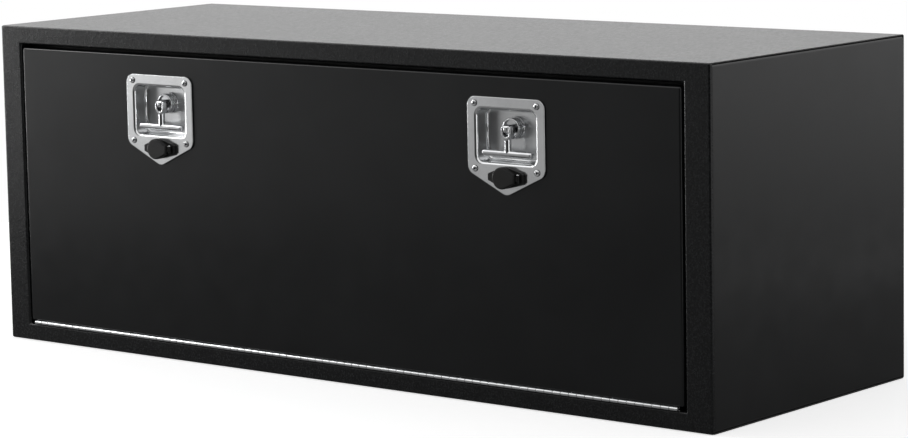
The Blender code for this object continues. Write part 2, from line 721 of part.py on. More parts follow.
def build_cover(side, seat, cap_hinge):
    """The weather cover: a long base on the plate with two ears, and a hollow cap pinned between them."""
    name = side + "_lock_cover_base"
    corners = ((-COVER_BASE_LEFT, -COVER_BASE_TAB_HALF), (0, -COVER_BASE_HALF),
               (COVER_BASE_SHOULDER, -COVER_BASE_SHOULDER_HALF), (COVER_BASE_RIGHT, -COVER_BASE_END_HALF))
    corners = corners + tuple((across, -up) for across, up in reversed(corners))
    radii = (COVER_BASE_CORNER, COVER_BASE_BELLY_RADIUS, COVER_BASE_CORNER, COVER_BASE_CORNER)
    outline = rounded(corners, radii + tuple(reversed(radii)), BEND_STEPS - 1)
    hole = circle(LOCK_BARREL_RADIUS + SEAM, ROUND_SIDES)
    mesh = flat(name, (outline, hole), COVER_FRONT, -SEAM)
    base = add_object(name, mesh, black_plastic, seat, (0, 0, -LOCK_DROP))
    foot = CAP_HINGE_RISE + COVER_BASE_THICKNESS / 2
    outline = arc(CAP_LUG_RADIUS, pi, tau, SMALL_SIDES // 2)
    outline = outline + [(CAP_LUG_RADIUS, foot), (-CAP_LUG_RADIUS, foot)]
    ear_low = CAP_LUG_HALF + SEAM
    ear_high = ear_low + CAP_EAR_THICKNESS
    xy_plane = Matrix.Identity(4)
    for label, way in (("upper", 1), ("lower", -1)):
        edges = sorted((way * ear_low, way * ear_high))
        mesh = flat("ear", (outline,), edges[0], edges[1], xy_plane)
        ear = add_object(f"{name}_{label}_ear", mesh, parent=cap_hinge)
        combine(base, ear, "UNION")
    pin_hole = round_bar("pin_hole", CAP_PIN_RADIUS + CAP_PIN_CLEARANCE, -OVERRUN, OVERRUN, "Z", KNUCKLE_SIDES)
    cutter = add_object(name + "_pin_hole", pin_hole, parent=cap_hinge)
    combine(base, cutter, "DIFFERENCE")
    pin = round_bar("pin", CAP_PIN_RADIUS, -ear_high, ear_high, "Z", KNUCKLE_SIDES)
    add_object(side + "_lock_cap_pin", pin, stainless, cap_hinge)
    name = side + "_lock_cap"
    cap_front = CAP_HINGE_RISE - CAP_HEIGHT
    at_hinge = Matrix.Translation((-CAP_HINGE_REACH, 0, 0))
    mesh = flat(name, (teardrop(0),), cap_front, CAP_HINGE_RISE)
    mesh.transform(at_hinge)
    cap = add_object(name, mesh, black_plastic, cap_hinge)
    mesh = flat("pocket", (teardrop(CAP_WALL),), cap_front + CAP_WALL, CAP_HINGE_RISE + OVERRUN)
    mesh.transform(at_hinge)
    combine(cap, add_object(name + "_pocket", mesh, parent=cap_hinge), "DIFFERENCE")
    mesh = flat("lug", (circle(CAP_LUG_RADIUS, SMALL_SIDES),), -CAP_LUG_HALF, CAP_LUG_HALF, xy_plane)
    combine(cap, add_object(name + "_lug", mesh, parent=cap_hinge), "UNION")
    arm_start = CAP_END - CAP_HINGE_REACH - CAP_WALL / 2
    arm = block("arm", (arm_start, -CAP_LUG_RADIUS, -CAP_LUG_HALF), (0, 0, CAP_LUG_HALF))
    combine(cap, add_object(name + "_arm", arm, parent=cap_hinge), "UNION")
    combine(cap, cutter, "DIFFERENCE")


def build_latch(side, seat):
    spindle_axis = add_empty(side + "_spindle_axis", seat, (0, 0, 0))
    pivot = add_empty(side + "_handle_pivot", spindle_axis, (0, PIVOT_DEPTH, 0))
    key_axis = add_empty(side + "_key_axis", seat, (0, 0, -LOCK_DROP))
    cap_hinge = add_empty(side + "_cap_hinge", seat, (CAP_HINGE_REACH, CAP_AXIS_DEPTH, -LOCK_DROP))
    build_plate(side, seat)
    build_screws(side, seat)
    build_spindle(side, seat, spindle_axis)
    build_handle(side, pivot)
    pin_half = YOKE_HALF + PIN_STAND
    pin = round_bar("pin", PIN_RADIUS, -pin_half, pin_half, "X", SMALL_SIDES)
    add_object(side + "_pivot_pin", pin, stainless, pivot)
    build_lock(side, seat, key_axis, cap_hinge)


def build():
    build_body()
    build_door_frame()
    hinge_line = add_empty("hinge_line", None, (0, FRONT, HINGE_Z))
    seats = []
    for side, way in (("left", -1), ("right", 1)):
        place = (LATCH_OFFSET + way * LATCH_SPACING / 2, PLATE_FRONT - FRONT, DOOR_HIGH - LATCH_DROP - HINGE_Z)
        seats.append(add_empty(side + "_latch_seat", hinge_line, place))
    build_door(seats)
    build_hinge(hinge_line)
    for side, seat in zip(("left", "right"), seats):
        build_latch(side, seat)


build()
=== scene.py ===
"""The looks of an underbody truck tool box: a folded sheet steel body in black powder coat, a drop-down
door on a stainless piano hinge, and two flush stainless T-handle latches with black weather covers over
their locks.

All sizes are in metres. The front faces -Y. Depths at a latch are counted back from its plate's face.
"""

from contextlib import contextmanager
from math import acos, atan2, cos, pi, radians, sin, sqrt, tan, tau

import bmesh
import bpy
from mathutils import Matrix, Vector


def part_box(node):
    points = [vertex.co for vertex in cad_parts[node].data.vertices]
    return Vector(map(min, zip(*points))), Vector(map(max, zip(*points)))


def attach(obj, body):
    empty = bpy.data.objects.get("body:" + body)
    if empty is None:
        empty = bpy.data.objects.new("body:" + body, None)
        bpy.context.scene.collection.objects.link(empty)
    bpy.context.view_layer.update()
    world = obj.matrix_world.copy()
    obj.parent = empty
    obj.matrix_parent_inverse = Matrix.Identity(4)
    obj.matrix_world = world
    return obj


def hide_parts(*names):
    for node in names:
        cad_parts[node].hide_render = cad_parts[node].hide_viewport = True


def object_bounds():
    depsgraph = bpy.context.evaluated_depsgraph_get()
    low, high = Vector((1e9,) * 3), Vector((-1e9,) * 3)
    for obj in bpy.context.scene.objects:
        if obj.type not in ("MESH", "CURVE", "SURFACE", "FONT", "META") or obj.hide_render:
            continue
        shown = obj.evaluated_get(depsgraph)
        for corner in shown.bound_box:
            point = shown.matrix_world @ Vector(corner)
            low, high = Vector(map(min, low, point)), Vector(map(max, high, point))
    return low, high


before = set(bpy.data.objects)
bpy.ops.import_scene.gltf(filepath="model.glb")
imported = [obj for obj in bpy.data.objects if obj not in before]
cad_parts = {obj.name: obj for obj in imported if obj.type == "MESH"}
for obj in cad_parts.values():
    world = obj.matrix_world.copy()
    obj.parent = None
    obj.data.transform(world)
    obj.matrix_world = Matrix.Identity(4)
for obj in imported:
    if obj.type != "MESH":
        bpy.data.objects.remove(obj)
CAD_LOW, CAD_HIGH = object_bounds()

# The sheet steel body and door
SHEET = 0.0019
BEND = 0.003
FRAME_RETURN = 0.004
SIDE_RAIL = 0.03975
TOP_RAIL = 0.0245
BOTTOM_RAIL = 0.0236
JAMB = 0.028
LIP = 0.014
HEM = 0.012
CUT_EDGE = 0.0004
BEND_STEPS = 6

# The piano hinge
KNUCKLE_PAIR = 0.0254
# The gap between two knuckles is drawn wider than a real one, so that it shows
KNUCKLE_GAP = 0.0008
KNUCKLE_RADIUS = 0.0025
LEAF = 0.0012

# The latch plate and its dish
LATCH_SHEET = 0.0015
SPINDLE_BELOW_TOP = 0.0395
SHOULDER = 0.0558
PLATE_TIP = 0.0847
PLATE_CORNER = 0.012
TIP_RADIUS = 0.014
PLATE_EDGE = 0.0007
MOUTH_HALF = 0.0464
MOUTH_TOP = 0.024
MOUTH_BOTTOM = 0.043
MOUTH_CORNER = 0.009
MOUTH_FILLET = 0.004
DISH_DEPTH = 0.024
DISH_FILLET = 0.0048
CORNER_STEPS = 8

# The screws
SCREW_HEAD = 0.00425
SCREW_RISE = 0.0022
RECESS_HALF = 0.0025
RECESS_ARM = 0.0009
RECESS_DEPTH = 0.001
RECESS_PIT = 0.0018
RECESS_PIT_DEPTH = 0.0075
# From this depth behind a screw's front, its colour turns near black: painted shade in the deep recess and on
# the dome's outer edge by the plate
SCREW_PAINTED_SHADE = 0.0012

# The bush, the spindle's hub and its tongue
BUSH_NECK = 0.010
HUB_FRONT = 0.0098
HUB_EDGE = 0.0018
HUB_RIM = 0.0023
HUB_HOLLOW = 0.003
HUB_GROOVES = (0.0142, 0.0182)
# A groove's depth and half its width, a little coarser than a real one so that it shows
GROOVE = 0.001
LAND_EDGE = 0.0003
TONGUE_HALF = 0.0046
TONGUE_RADIUS = 0.0055
TONGUE_ROUND = 0.0036
PIVOT_DEPTH = 0.0045
SHAFT_END = 0.004

# The folding handle
ROD = 0.0045
YOKE_HALF = 0.0075
YOKE_LENGTH = 0.013
YOKE_THROAT = 0.010
YOKE_ROUND = 0.0073
EAR_ROUND = 0.0036
THROAT_ROUND = 0.0047
SLOT_HALF = 0.0049
BAR_DROP = 0.0315
STEM_SHARE = 0.96
BAR_END_SHARE = 0.4
CASTING_VOXEL = 0.0004
CASTING_SMOOTHING = 14

# The weather cover over the lock
LOCK_DROP = 0.0606
BASE_RISE = 0.0053
BASE_GAP = 0.0003
BASE_TAB_HALF = 0.0042
BASE_END_HALF = 0.0052
BASE_SHOULDER = 0.026
BASE_SHOULDER_HALF = 0.008
BASE_HALF = 0.0145
BASE_CORNER = 0.001
BASE_SIDE_CORNER = 0.012
BASE_HOLE = 0.0093
BASE_EDGE = 0.0006
EAR_IN = 0.0031
EAR_OUT = 0.0051
EAR_BEND = 0.0018
LUG_RADIUS = 0.0019
LUG_HALF = 0.0028
CAP_RADIUS = 0.014
CAP_END = 0.021
CAP_END_HALF = 0.0058
CAP_WALL = 0.0015
CAP_EDGE = 0.0024
CAP_BULGE = 0.6
PIN_HEAD = 0.0018
PIN_HEAD_RISE = 0.0011
PIN_DOME_SHARE = 0.9

# The lock
LOCK_HEAD = 0.0017
LOCK_BARREL = 0.009
LOCK_BORE = 0.0063
LOCK_LENGTH = 0.028
KEYWAY_HALF = (0.0007, 0.004)
KEYWAY_DEPTH = 0.010
TENON_HALF = 0.003

# How large the patterns in the finishes are, and how many times as long along the way they are drawn out
COAT_GRAIN = 0.0024
COAT_STRETCH = 3
COAT_CLOUD = 0.09
COAT_PATCH = 0.03
ORANGE_PEEL = 0.005
SHEET_CLOUD = 0.03
SHEET_GRAIN = 0.0012
SHEET_STREAK = 24
CASTING_CLOUD = 0.01
CASTING_WAVE = 0.004
ZINC_BLOOM = 0.007
ZINC_PATCH = 0.003
NYLON_CLOUD = 0.01
NYLON_SPARK = 0.0008
RUBBER_BLOOM = 0.01
RUBBER_GRAIN = 0.0012

# What the dish's walls and its floor add to the plate's roughness
DISH_WALL_CHANGE = -0.08
DISH_FLOOR_CHANGE = 0.2

# The studio: how bright its even light is, and the mirrored front, and the back above its graded foot
EVEN_LIGHT = 0.55
MIRRORED_FRONT = 0.03
MIRRORED_BACK = 1.31
BACK_GRADE = (-0.17, -0.07)
# Along Y of the way looked, where the mirrored back starts to take over from the room, and where it is full
BEHIND_GRADE = (-0.2, 0.5)
# Along an axis of the way looked, where a side of the mirrored room starts and is full, and how bright it is
MIRRORED_SIDES = {
    "low": ("Z", -0.12, -0.4, 0.25),
    "ceiling": ("Z", 0.3, 0.6, 1.0),
    "left": ("X", -0.35, -0.85, 0.75),
    "right": ("X", 0.74, 0.9, 1.3),
}
FLOOR_RADIUS = 1.6
FLOOR_GAP = 0.0005
FLOOR_GLOW = 0.6
MIRRORED_FLOOR = 0.082
MIRRORED_FLOOR_NEAR = 0.6
LAMP_TARGET = Vector((0, 0, 0.25))
# Each lamp's name, place, width and height, and power in watts
LAMPS = (
    ("high_left_softbox", (-2.35, -0.97, 1.97), (0.7, 0.7), 12.5),
    ("left_strip", (-2.7, -1.2, 0.45), (0.4, 0.9), 15),
    ("side_strip", (-3.4, -0.35, 0.25), (0.5, 0.8), 12),
    ("left_softbox", (-3.0, -2.2, 0.3), (1.2, 0.6), 1.4),
    ("back_softbox", (-2.8, 3.2, 1.2), (2.4, 1.4), 1.85),
)

# The camera, solved from the photograph
CAMERA_PLACE = (2.803533, -3.412605, 0.81909)
CAMERA_TURN = (radians(82.5061), radians(1.1744), radians(39.8335))
CAMERA_LENS = 129.5
CAMERA_SHIFT = (0.0595, -0.0374)

# Modelling: how far a cutter overruns, the cosines that faces and edges have to reach, the angles from which
# a bend is rounded, an edge is eased, a facet stays and shading breaks, and the distance of a merge
OVERRUN = 0.02
FACING = 0.9
ALONG = 0.99
BEND_ANGLE = radians(40)
REFINE_ANGLE = radians(50)
EDGE_ANGLE = radians(60)
FLAT_ANGLE = radians(1)
SHADE_ANGLE = radians(35)
MERGE = CUT_EDGE / 100
# A bevel this share of half a bar's height rounds it without its two arcs meeting
NEARLY_ROUND = 0.98

# Places read from the frame
FRAME_LOW, FRAME_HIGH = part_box("door_frame")
WRAP_LOW, WRAP_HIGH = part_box("body_wrap")
DOOR_LOW, DOOR_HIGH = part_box("door_panel")
PLATE_LOW, PLATE_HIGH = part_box("left_latch_plate")
FRONT = FRAME_LOW.y
LATCH_X = (PLATE_LOW.x + PLATE_HIGH.x) / 2
LATCH_Y = PLATE_LOW.y
LATCH_Z = PLATE_HIGH.z - SPINDLE_BELOW_TOP
RIGHT_LATCH = Vector((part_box("right_latch_plate")[0].x - PLATE_LOW.x, 0, 0))
SCREW_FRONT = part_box("left_latch_screw_1")[0].y
BUSH_LOW, BUSH_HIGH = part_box("left_spindle_bush")
PIN_LOW, PIN_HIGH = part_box("left_lock_cap_pin")
PIN_CENTRE = (PIN_LOW + PIN_HIGH) / 2


def deselect():
    bpy.ops.object.select_all(action="DESELECT")


def activate(piece):
    deselect()
    piece.select_set(True)
    bpy.context.view_layer.objects.active = piece


def clear_selection():
    deselect()
    bpy.context.view_layer.objects.active = None


@contextmanager
def editing(piece):
    activate(piece)
    bpy.ops.object.mode_set(mode="EDIT")
    bpy.ops.mesh.select_all(action="DESELECT")
    yield
    bpy.ops.object.mode_set(mode="OBJECT")


def pick(piece, kind, test):
    """Selects the vertices, edges or faces that pass a test, in edit mode."""
    bpy.ops.mesh.select_mode(type=kind)
    bpy.ops.mesh.select_all(action="DESELECT")
    bm = bmesh.from_edit_mesh(piece.data)
    parts = {"VERT": bm.verts, "EDGE": bm.edges, "FACE": bm.faces}[kind]
    bm.normal_update()
    for part in parts:
        if test(part):
            part.select = True
    bm.select_flush_mode()
    bmesh.update_edit_mesh(piece.data)


def middle(edge):
    return (edge.verts[0].co + edge.verts[1].co) / 2


def along(edge, axis):
    line = edge.verts[1].co - edge.verts[0].co
    return abs(line["xyz".index(axis)]) > ALONG * line.length


def faces_way(way):
    return lambda face: face.normal.dot(Vector(way)) > FACING


def apply_modifier(piece, kind, **settings):
    activate(piece)
    modifier = piece.modifiers.new(kind.title(), kind)
    for key, value in settings.items():
        setattr(modifier, key, value)
    bpy.ops.object.modifier_apply(modifier=modifier.name)


def start_box(name, low, high):
    deselect()
    low = Vector(low)
    high = Vector(high)
    bpy.ops.mesh.primitive_cube_add(size=1, location=(low + high) / 2, scale=high - low)
    bpy.ops.object.transform_apply(location=True, rotation=True, scale=True)
    piece = bpy.context.object
    piece.name = name
    return piece


def start_rod(name, start, end, radius, sides=48):
    deselect()
    start = Vector(start)
    line = Vector(end) - start
    bpy.ops.mesh.primitive_cylinder_add(vertices=sides, radius=radius, depth=line.length,
                                        location=start + line / 2,
                                        rotation=line.to_track_quat("Z", "Y").to_euler())
    bpy.ops.object.transform_apply(location=True, rotation=True, scale=True)
    piece = bpy.context.object
    piece.name = name
    return piece


def soften(piece, width, steps=3, angle=BEND_ANGLE):
    apply_modifier(piece, "BEVEL", width=width, segments=steps, limit_method="ANGLE", angle_limit=angle,
                   use_clamp_overlap=True)


def fold_from_skin(piece):
    """Gives an open skin its rounded folds, its sheet thickness and slightly eased cut edges."""
    soften(piece, BEND, BEND_STEPS)
    apply_modifier(piece, "SOLIDIFY", thickness=SHEET, offset=-1, use_even_offset=True)
    soften(piece, CUT_EDGE, 2, EDGE_ANGLE)


def combine(piece, other, operation):
    apply_modifier(piece, "BOOLEAN", object=other, operation=operation, solver="EXACT")
    bpy.data.objects.remove(other)


def finish_piece(piece, material, body, node, flat_shading=False):
    """Smooth shading that keeps flats flat, the finish, the body, and the CAD node it replaces."""
    activate(piece)
    bpy.ops.object.shade_smooth_by_angle(angle=SHADE_ANGLE)
    if not flat_shading:
        apply_modifier(piece, "WEIGHTED_NORMAL", keep_sharp=True, weight=100)
    piece.data.materials.clear()
    piece.data.materials.append(material)
    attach(piece, body)
    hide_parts(node)


def linear(hex_colour):
    channels = []
    for at in (0, 2, 4):
        value = int(hex_colour[at:at + 2], 16) / 255
        channels.append(value / 12.92 if value <= 0.04045 else ((value + 0.055) / 1.055) ** 2.4)
    return (*channels, 1)


def add_node(tree, kind, inputs=None, **settings):
    """Adds a node: inputs are values, or sockets of other nodes to link from."""
    node = tree.nodes.new(kind)
    for key, value in settings.items():
        setattr(node, key, value)
    for key, value in (inputs or {}).items():
        if isinstance(value, bpy.types.NodeSocket):
            tree.links.new(value, node.inputs[key])
        else:
            node.inputs[key].default_value = value
    return node


def new_material(name, roughness, metallic, **sockets):
    material = bpy.data.materials.new(name)
    material.use_nodes = True
    tree = material.node_tree
    shader = tree.nodes["Principled BSDF"]
    shader.inputs["Roughness"].default_value = roughness
    shader.inputs["Metallic"].default_value = metallic
    for key, value in sockets.items():
        shader.inputs[key].default_value = value
    place = add_node(tree, "ShaderNodeTexCoord").outputs["Object"]
    return material, tree, shader, place


def noise(tree, place, size, detail=3, rough=0.5, stretch=(1, 1, 1)):
    """A cloudy pattern whose blotches are about one size across, drawn out along an axis by the stretch."""
    scale = [1 / (size * share) for share in stretch]
    spread = add_node(tree, "ShaderNodeMapping", {"Vector": place, "Scale": scale})
    return add_node(tree, "ShaderNodeTexNoise", {"Vector": spread.outputs["Vector"], "Scale": 1.0,
                                                 "Detail": detail, "Roughness": rough}).outputs["Fac"]


def blend_colours(tree, factor, first, second):
    ramp = add_node(tree, "ShaderNodeValToRGB", {"Fac": factor})
    ramp.color_ramp.elements[0].position = 0.35
    ramp.color_ramp.elements[1].position = 0.65
    ramp.color_ramp.elements[0].color = linear(first)
    ramp.color_ramp.elements[1].color = linear(second)
    return ramp.outputs["Color"]


def spread_value(tree, factor, low, high):
    return add_node(tree, "ShaderNodeMapRange", {"Value": factor, "From Min": 0.3, "From Max": 0.7,
                                                 "To Min": low, "To Max": high}).outputs["Result"]


def step_between(tree, value, start, full, level=1.0):
    """Rises or falls smoothly from nothing at start to the level at full."""
    return add_node(tree, "ShaderNodeMapRange",
                    {"Value": value, "From Min": start, "From Max": full, "To Max": level},
                    interpolation_type="SMOOTHSTEP").outputs["Result"]


def add_up(tree, first, second):
    return add_node(tree, "ShaderNodeMath", {0: first, 1: second}, operation="ADD").outputs[0]


def depth_of(tree, place):
    return add_node(tree, "ShaderNodeSeparateXYZ", {"Vector": place}).outputs["Y"]


def add_bump(tree, shader, height, strength, distance):
    bump = add_node(tree, "ShaderNodeBump", {"Height": height, "Strength": strength, "Distance": distance})
    tree.links.new(bump.outputs["Normal"], shader.inputs["Normal"])


def textured_coat(name, stretch, low, high):
    """Fine-texture black powder coat: a dry, sandy surface. Its grain, truly under a millimetre, is drawn
    about three times as coarse, and drawn out on the top, so that it still shows at the photograph's size."""
    material, tree, shader, place = new_material(name, low, 0, IOR=1.36)
    grain = noise(tree, place, COAT_GRAIN, 3, 0.7, stretch)
    tree.links.new(blend_colours(tree, grain, "060607", "1B1C1D"), shader.inputs["Base Color"])
    tree.links.new(spread_value(tree, grain, low, high), shader.inputs["Roughness"])
    add_bump(tree, shader, grain, 0.5, 0.0005)
    return material


def smooth_coat():
    """Smooth satin black powder coat: softly shining, with a long, very slight orange peel."""
    material, tree, shader, place = new_material("smooth_black_powder_coat", 0.24, 0, IOR=1.38)
    cloud = noise(tree, place, COAT_CLOUD, 2)
    tree.links.new(blend_colours(tree, cloud, "0D0E0F", "111213"), shader.inputs["Base Color"])
    patches = noise(tree, place, COAT_PATCH)
    tree.links.new(spread_value(tree, patches, 0.22, 0.26), shader.inputs["Roughness"])
    add_bump(tree, shader, noise(tree, place, ORANGE_PEEL, 2, 0.45), 0.2, 0.0002)
    return material


def satin_stainless():
    """Pressed stainless sheet, rolled bright: faint drawn-out streaks of more and less polish, coarser than a
    real rolled grain, walls burnished by the die, and a duller dish floor."""
    material, tree, shader, place = new_material("bright_stainless_sheet", 0.18, 1)
    tree.links.new(blend_colours(tree, noise(tree, place, SHEET_CLOUD), "D6D7D8", "DEDFE0"),
                   shader.inputs["Base Color"])
    grain = noise(tree, place, SHEET_GRAIN, 2, 0.5, (SHEET_STREAK, 1, 1))
    depth = depth_of(tree, place)
    rough = spread_value(tree, grain, 0.16, 0.2)
    wall = (CUT_EDGE, MOUTH_FILLET / 2, DISH_WALL_CHANGE)
    floor = (DISH_DEPTH - DISH_FILLET / 3, DISH_DEPTH - CUT_EDGE / 2, DISH_FLOOR_CHANGE)
    for start, full, change in (wall, floor):
        rough = add_up(tree, rough, step_between(tree, depth, LATCH_Y + start, LATCH_Y + full, change))
    tree.links.new(rough, shader.inputs["Roughness"])
    add_bump(tree, shader, grain, 0.04, 0.00001)
    return material


def polished_stainless(name, painted_shade_from=None):
    """Cast or turned stainless, polished: bright, with soft small waves in its reflections. From the given
    depth on,
    a screw is painted near black: painted shade that makes its deep recess read as a dot and darkens its
    dome's rim."""
    material, tree, shader, place = new_material(name, 0.1, 1)
    colour = blend_colours(tree, noise(tree, place, CASTING_CLOUD), "CBCCCE", "D8D9DA")
    if painted_shade_from is not None:
        # Painted shade: from that depth on, the colour goes to near black
        shade = step_between(tree, depth_of(tree, place), painted_shade_from, painted_shade_from + CUT_EDGE)
        colour = add_node(tree, "ShaderNodeMix", {0: shade, 6: colour, 7: linear("0A0A0A")},
                          data_type="RGBA").outputs[2]
    tree.links.new(colour, shader.inputs["Base Color"])
    polish = noise(tree, place, CASTING_WAVE)
    tree.links.new(spread_value(tree, polish, 0.07, 0.12), shader.inputs["Roughness"])
    add_bump(tree, shader, noise(tree, place, CASTING_WAVE, 2), 0.15, 0.0001)
    return material


def zinc_plate():
    """Zinc plated steel: a paler and darker bloom over a dull metal."""
    material, tree, shader, place = new_material("zinc_plated_steel", 0.38, 1)
    tree.links.new(blend_colours(tree, noise(tree, place, ZINC_BLOOM, 5), "A3A8AD", "BDC1C4"),
                   shader.inputs["Base Color"])
    patches = noise(tree, place, ZINC_PATCH, 4)
    tree.links.new(spread_value(tree, patches, 0.3, 0.46), shader.inputs["Roughness"])
    return material


def cover_plastic():
    """Moulded black nylon: a matt, lightly sparked surface."""
    material, tree, shader, place = new_material("moulded_black_nylon", 0.5, 0, IOR=1.36)
    tree.links.new(blend_colours(tree, noise(tree, place, NYLON_CLOUD), "0D0D0D", "121212"),
                   shader.inputs["Base Color"])
    spark = noise(tree, place, NYLON_SPARK, 2)
    tree.links.new(spread_value(tree, spark, 0.42, 0.56), shader.inputs["Roughness"])
    add_bump(tree, shader, spark, 0.2, 0.00005)
    return material


def seal_rubber():
    """EPDM rubber: dull black with a greyish bloom."""
    material, tree, shader, place = new_material("epdm_rubber", 0.8, 0)
    tree.links.new(blend_colours(tree, noise(tree, place, RUBBER_BLOOM, 4), "101010", "1B1B1B"),
                   shader.inputs["Base Color"])
    add_bump(tree, shader, noise(tree, place, RUBBER_GRAIN), 0.3, 0.0001)
    return material


TEXTURED = textured_coat("textured_black_powder_coat", (1, 1, 1), 0.2, 0.3)
TEXTURED_TOP = textured_coat("drawn_out_textured_black_powder_coat", (1, COAT_STRETCH, 1), 0.3, 0.42)
SMOOTH = smooth_coat()
SATIN = satin_stainless()
POLISHED = polished_stainless("polished_stainless_casting")
# The screws' finish: polished stainless with painted shade from the recess depth on
SCREW_FINISH = polished_stainless("polished_stainless_screw", SCREW_FRONT + SCREW_PAINTED_SHADE)
ZINC = zinc_plate()
NYLON = cover_plastic()
RUBBER = seal_rubber()


def folded_box(name, low, high, removed):
    """An open folded sheet: a box without the faces that look the given ways."""
    piece = start_box(name, low, high)
    with editing(piece):
        pick(piece, "FACE", lambda face: any(faces_way(way)(face) for way in removed))
        bpy.ops.mesh.delete(type="FACE")
    fold_from_skin(piece)
    return piece


def body_sheets():
    wrap = folded_box("folded_wrapper", WRAP_LOW, WRAP_HIGH, ((0, -1, 0), (-1, 0, 0), (1, 0, 0)))
    finish_piece(wrap, TEXTURED_TOP, "body", "body_wrap")
    for side, inner in (("left", (1, 0, 0)), ("right", (-1, 0, 0))):
        low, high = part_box(side + "_end_panel")
        panel = folded_box(side + "_end_pan", low, high, ((0, -1, 0), inner))
        finish_piece(panel, SMOOTH, "body", side + "_end_panel")


def front_frame():
    """The front: a face with returned outer edges, and an opening whose jamb turns in to the seal's lip."""
    piece = start_box("front_frame", FRAME_LOW, (FRAME_HIGH.x, FRONT + FRAME_RETURN, FRAME_HIGH.z))
    opening_half = FRAME_HIGH.x - SIDE_RAIL
    faces_front = faces_way((0, -1, 0))

    def opening_corner(vert):
        return abs(abs(vert.co.x) - opening_half) < CUT_EDGE

    with editing(piece):
        pick(piece, "FACE", faces_way((0, 1, 0)))
        bpy.ops.mesh.delete(type="FACE")
        pick(piece, "FACE", faces_front)
        bpy.ops.mesh.inset(thickness=SIDE_RAIL)
        pick(piece, "VERT", lambda vert: opening_corner(vert) and vert.co.z > FRAME_HIGH.z / 2)
        bpy.ops.transform.translate(value=(0, 0, SIDE_RAIL - TOP_RAIL))
        pick(piece, "VERT", lambda vert: opening_corner(vert) and vert.co.z < FRAME_HIGH.z / 2)
        bpy.ops.transform.translate(value=(0, 0, BOTTOM_RAIL - SIDE_RAIL))
        pick(piece, "FACE", lambda face: faces_front(face)
             and all(abs(vert.co.x) < opening_half + CUT_EDGE for vert in face.verts))
        bpy.ops.mesh.extrude_region_move(TRANSFORM_OT_translate={"value": (0, JAMB, 0)})
        bpy.ops.mesh.inset(thickness=LIP)
        bpy.ops.mesh.delete(type="FACE")
    fold_from_skin(piece)
    finish_piece(piece, TEXTURED, "body", "door_frame")


def at_latch(across, depth, up):
    return Vector((LATCH_X + across, LATCH_Y + depth, LATCH_Z + up))


def at_lock(across, depth, up):
    return at_latch(across, depth, up - LOCK_DROP)


def at_cover_pin(across, depth, up):
    return (PIN_CENTRE.x + across, PIN_CENTRE.y + depth, PIN_CENTRE.z + up)


def rounded(corners, radii, steps=CORNER_STEPS):
    """An outline whose corners are arcs of the given radii."""
    points = [Vector(corner) for corner in corners]
    outline = []
    for at, corner in enumerate(points):
        before = (points[at - 1] - corner).normalized()
        after = (points[(at + 1) % len(points)] - corner).normalized()
        half_angle = before.angle(after) / 2
        centre = corner + (before + after).normalized() * radii[at] / sin(half_angle)
        start = corner + before * radii[at] / tan(half_angle) - centre
        end = corner + after * radii[at] / tan(half_angle) - centre
        first = atan2(start.y, start.x)
        sweep = (atan2(end.y, end.x) - first + pi) % tau - pi
        for step in range(steps + 1):
            turn = first + sweep * step / steps
            outline.append((centre.x + radii[at] * cos(turn), centre.y + radii[at] * sin(turn)))
    return outline


def mouth_outline(offset):
    half = MOUTH_HALF + offset
    low = -MOUTH_BOTTOM - offset
    high = MOUTH_TOP + offset
    return rounded(((-half, low), (half, low), (half, high), (-half, high)), (MOUTH_CORNER + offset,) * 4)


def plate_outline():
    half = (PLATE_HIGH.x - PLATE_LOW.x) / 2
    top = SPINDLE_BELOW_TOP
    corners = ((0, -PLATE_TIP), (half, -SHOULDER), (half, top), (-half, top), (-half, -SHOULDER))
    return rounded(corners, (TIP_RADIUS, PLATE_CORNER, PLATE_CORNER, PLATE_CORNER, PLATE_CORNER))


def outline_piece(name, outline, front, back, centre=(0, 0), holes=()):
    """A flat piece at the latch from an outline across and up, between two depths."""
    curve = bpy.data.curves.new(name, "CURVE")
    curve.dimensions = "2D"
    curve.fill_mode = "BOTH"
    curve.extrude = (back - front) / 2
    for ring in (outline, *holes):
        spline = curve.splines.new("POLY")
        spline.points.add(len(ring) - 1)
        spline.use_cyclic_u = True
        for point, (across, up) in zip(spline.points, ring):
            point.co = (across, up, 0, 1)
    piece = bpy.data.objects.new(name, curve)
    bpy.context.scene.collection.objects.link(piece)
    piece.location = at_latch(centre[0], (front + back) / 2, centre[1])
    piece.rotation_euler = (pi / 2, 0, 0)
    activate(piece)
    bpy.ops.object.convert(target="MESH")
    bpy.ops.object.transform_apply(location=True, rotation=True, scale=True)
    with editing(piece):
        bpy.ops.mesh.select_all(action="SELECT")
        bpy.ops.mesh.remove_doubles(threshold=MERGE)
        bpy.ops.mesh.dissolve_limited(angle_limit=FLAT_ANGLE)
        bpy.ops.mesh.normals_make_consistent(inside=False)
    return piece


def copies_for_both(piece, material, body, node, flat_shading=False):
    """The left latch's piece, and a copy with its own mesh at the right latch."""
    other = piece.copy()
    other.data = piece.data.copy()
    other.name = piece.name.replace("left_", "right_")
    bpy.context.scene.collection.objects.link(other)
    other.data.transform(Matrix.Translation(RIGHT_LATCH))
    for side, item in (("left_", piece), ("right_", other)):
        ridden = body if body == "door" else side + body
        finish_piece(item, material, ridden, side + node, flat_shading=flat_shading)


